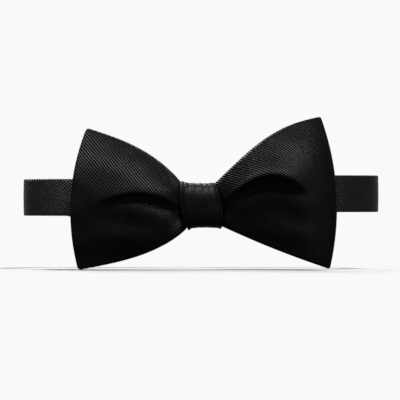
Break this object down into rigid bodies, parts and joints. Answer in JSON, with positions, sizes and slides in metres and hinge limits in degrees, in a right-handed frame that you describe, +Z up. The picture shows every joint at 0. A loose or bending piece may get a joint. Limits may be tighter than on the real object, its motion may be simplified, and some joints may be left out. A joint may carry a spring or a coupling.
{
  "type": "bow tie",
  "caption": "Ready-tied bow tie in black ribbed silk on an adjustable neck band, with a metal slider and a hook-and-ring clasp.",
  "frame": {"origin": "middle of the knot's flat back, where the tie lies on the collar", "axes": "+Z up as worn, the bow faces -Y, +X to the right as seen from the front; the neck loop lies towards +Y"},
  "size_m": [0.1648, 0.0697, 0.0699],
  "materials": {
    "bow_silk": "ribbed silk on the bias, soft sheen",
    "knot_silk": "fine ribbed silk, soft sheen",
    "band_silk": "ribbed silk on the bias, pressed flat",
    "interlining": "plain woven wool and cotton canvas",
    "thread": "twisted silk thread",
    "clasp_metal": "nickel plated, lightly worn"
  },
  "bodies": {
    "bow": {"left_blade_face": "bow_silk", "left_blade_interlining": "interlining", "left_blade_lining": "bow_silk", "left_loop_face": "bow_silk", "left_loop_interlining": "interlining", "left_loop_lining": "bow_silk", "right_loop_face": "bow_silk", "right_loop_interlining": "interlining", "right_loop_lining": "bow_silk", "right_blade_face": "bow_silk", "right_blade_interlining": "interlining", "right_blade_lining": "bow_silk", "knot_wrap": "knot_silk", "knot_interlining": "interlining", "knot_stitches": "thread", "binding_thread": "thread", "left_front_band": "band_silk", "left_front_interlining": "interlining", "right_front_band": "band_silk", "right_front_interlining": "interlining"},
    "back_left": {"left_back_strap": "band_silk", "left_back_interlining": "interlining"},
    "strap_fold": {"ring_fold": "band_silk", "return_strap": "band_silk"},
    "ring": {"ring": "clasp_metal"},
    "slider": {"slider": "clasp_metal", "slider_fold": "band_silk", "slider_stitches": "thread"},
    "back_right": {"right_back_strap": "band_silk", "right_back_interlining": "interlining", "hook_fold": "band_silk", "hook_stitches": "thread"},
    "hook": {"hook": "clasp_metal"}
  },
  "joints": [
    {"name": "left_bend", "type": "hinge", "parent": "bow", "child": "back_left", "pos_m": [-0.0817, 0.025, 0.0037], "axis": [0, 0, -1], "range_deg": [0, 22]},
    {"name": "right_bend", "type": "hinge", "parent": "bow", "child": "back_right", "pos_m": [0.0817, 0.025, 0.0054], "axis": [0, 0, -1], "range_deg": [0, 60]},
    {"name": "neck_size", "type": "slide", "parent": "back_left", "child": "strap_fold", "axis": [1, 0, 0], "range_m": [0, 0.0075]},
    {"name": "slider_travel", "type": "slide", "parent": "strap_fold", "child": "slider", "axis": [1, 0, 0], "range_m": [0, 0.0075], "deforming": ["return_strap"]},
    {"name": "ring_swing", "type": "hinge", "parent": "strap_fold", "child": "ring", "pos_m": [-0.012, 0.04875, 0], "axis": [0, 0, -1], "range_deg": [0, 75]},
    {"name": "hook_swing", "type": "hinge", "parent": "back_right", "child": "hook", "pos_m": [0.011, 0.04875, 0], "axis": [0, 0, -1], "range_deg": [0, 75]}
  ],
  "couplings": [
    {"joint": "slider_travel", "follows": "neck_size", "ratio": 1}
  ]
}
